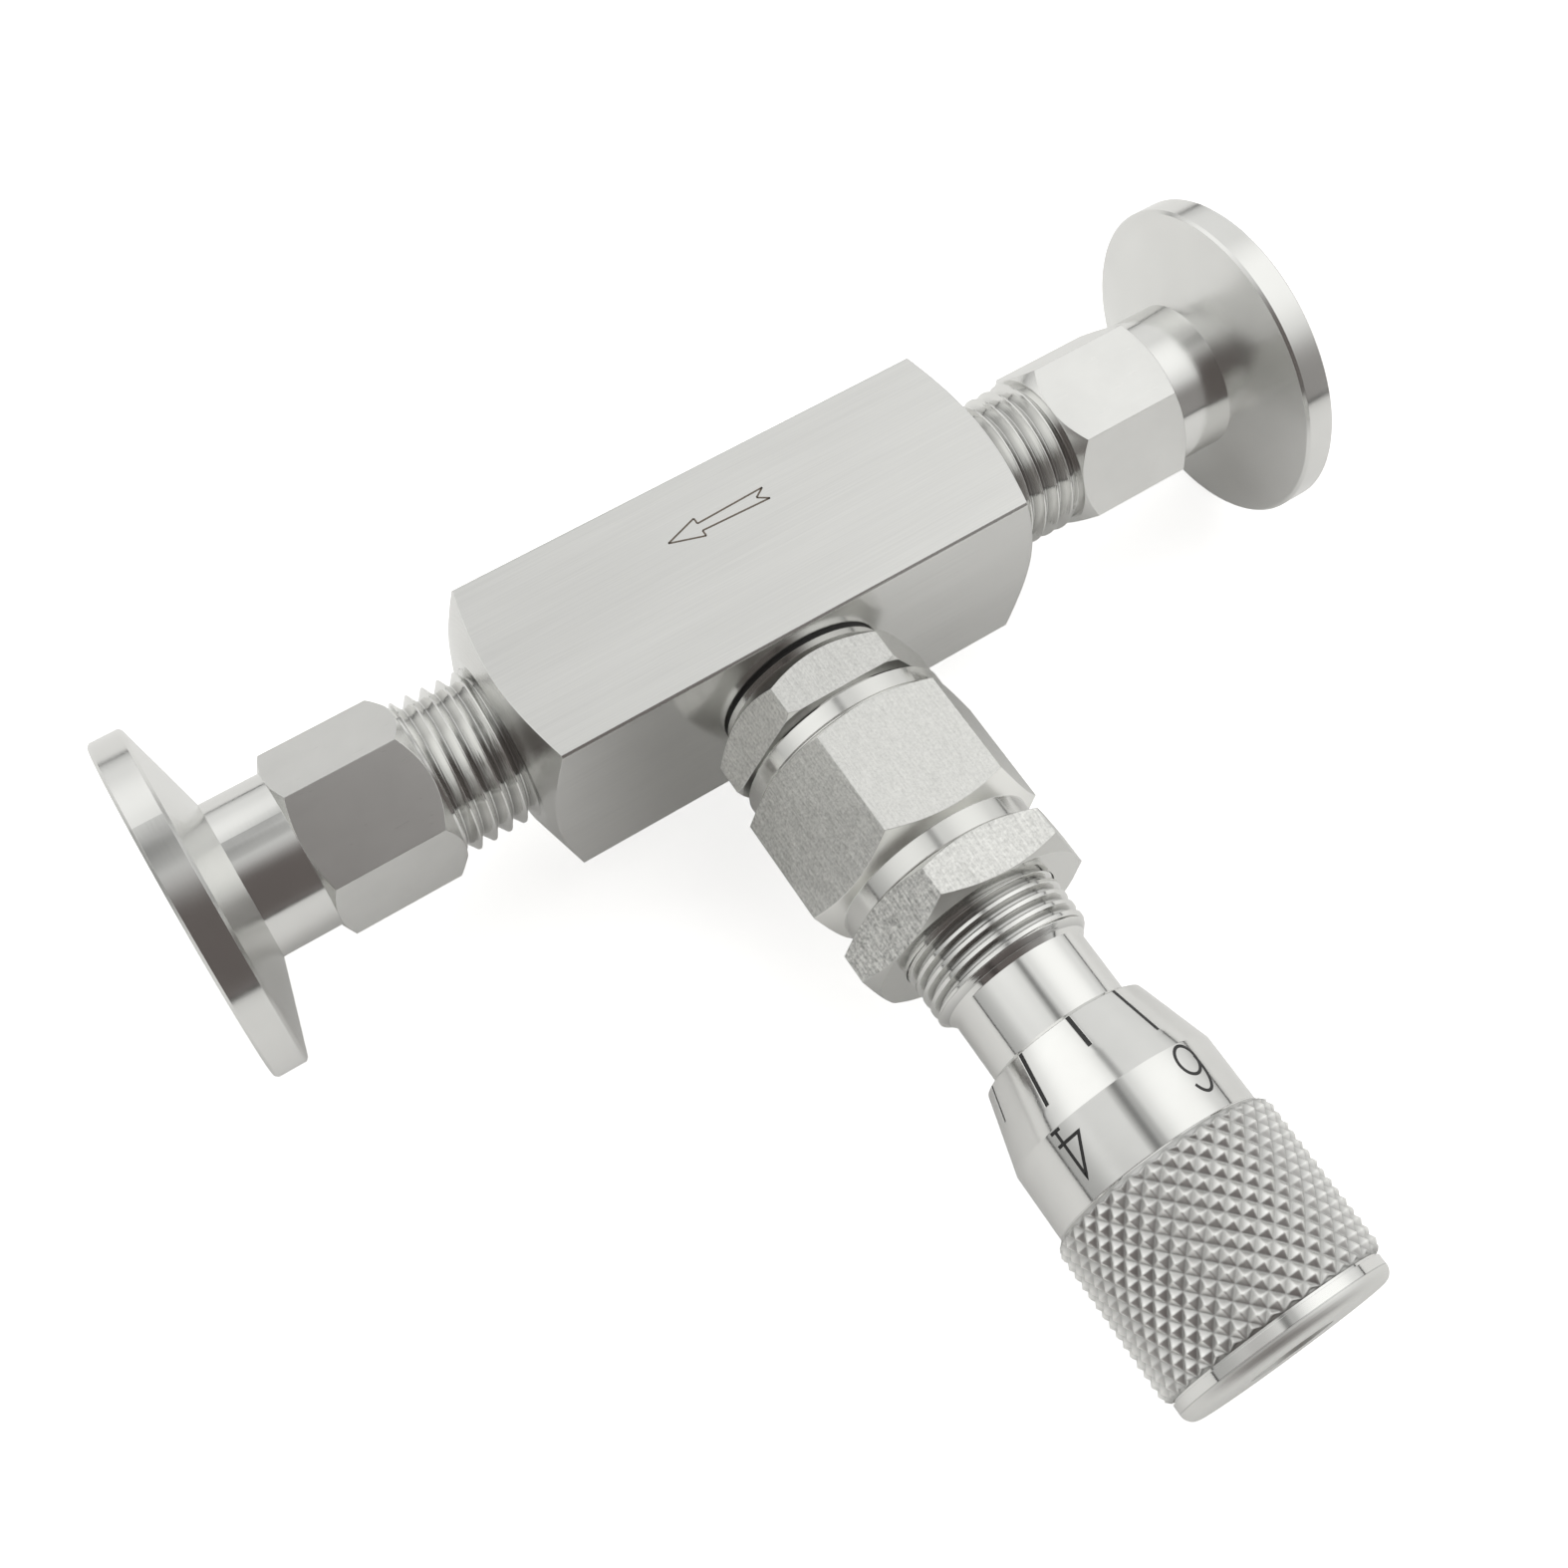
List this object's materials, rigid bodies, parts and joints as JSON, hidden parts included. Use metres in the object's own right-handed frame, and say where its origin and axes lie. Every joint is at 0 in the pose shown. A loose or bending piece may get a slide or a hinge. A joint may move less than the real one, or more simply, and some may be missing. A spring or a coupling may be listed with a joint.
{
  "type": "vacuum needle valve",
  "caption": "Fine metering valve for vacuum lines: bar body with clamp flanges in line and a packed needle driven by a graduated micrometer thimble and knurled knob.",
  "frame": {"origin": "centre of the inlet flange's sealing face", "axes": "+X along the flow axis out of the inlet flange, -Y along the needle's stem towards the knob, +Z out of the body's broad face with the flow arrow"},
  "size_m": [0.1044, 0.0891, 0.03],
  "materials": {
    "body_steel": "bar stock brushed lengthwise",
    "adapter_steel": "turned and polished",
    "nut_steel": "satin",
    "barrel_steel": "ground and polished",
    "thimble_steel": "polished with dark filled graduations",
    "knob_steel": "knurled and polished",
    "needle_steel": "ground",
    "ball_steel": "polished ball",
    "screw_steel": "plain machine finish",
    "packing_white": "white fluoropolymer",
    "gland_bronze": "turned bronze",
    "gasket_black": "black fluoroelastomer ring"
  },
  "bodies": {
    "valve": {"valve_body": "body_steel", "inlet_adapter": "adapter_steel", "outlet_adapter": "adapter_steel", "bonnet_gasket": "gasket_black", "bonnet": "nut_steel", "packing_base_ring": "needle_steel", "packing_ring_lower": "packing_white", "packing_ring_middle": "packing_white", "packing_ring_upper": "packing_white", "packing_gland": "gland_bronze", "union_nut": "nut_steel", "stem_barrel": "barrel_steel", "guide_pin": "needle_steel"},
    "panel_nut": {"panel_nut": "nut_steel"},
    "needle": {"valve_needle": "needle_steel", "swivel_ball": "ball_steel", "swivel_retainer": "needle_steel"},
    "knob": {"micrometer_stem": "needle_steel", "graduated_thimble": "thimble_steel", "knurled_knob": "knob_steel", "screw_washer": "screw_steel", "knob_screw": "screw_steel"}
  },
  "joints": [
    {"name": "needle_lift", "type": "slide", "parent": "valve", "child": "needle", "axis": [0, -1, 0], "range_m": [0, 0.005]},
    {"name": "knob_turn", "type": "hinge", "parent": "needle", "child": "knob", "pos_m": [-0.0522, -0.066, 0], "axis": [0, -1, 0], "range_deg": [0, 3600]},
    {"name": "panel_nut_run", "type": "slide", "parent": "valve", "child": "panel_nut", "axis": [0, -1, 0], "range_m": [0, 0.0035]}
  ],
  "couplings": [
    {"joint": "knob_turn", "follows": "needle_lift", "rad_per_m": 12566}
  ]
}
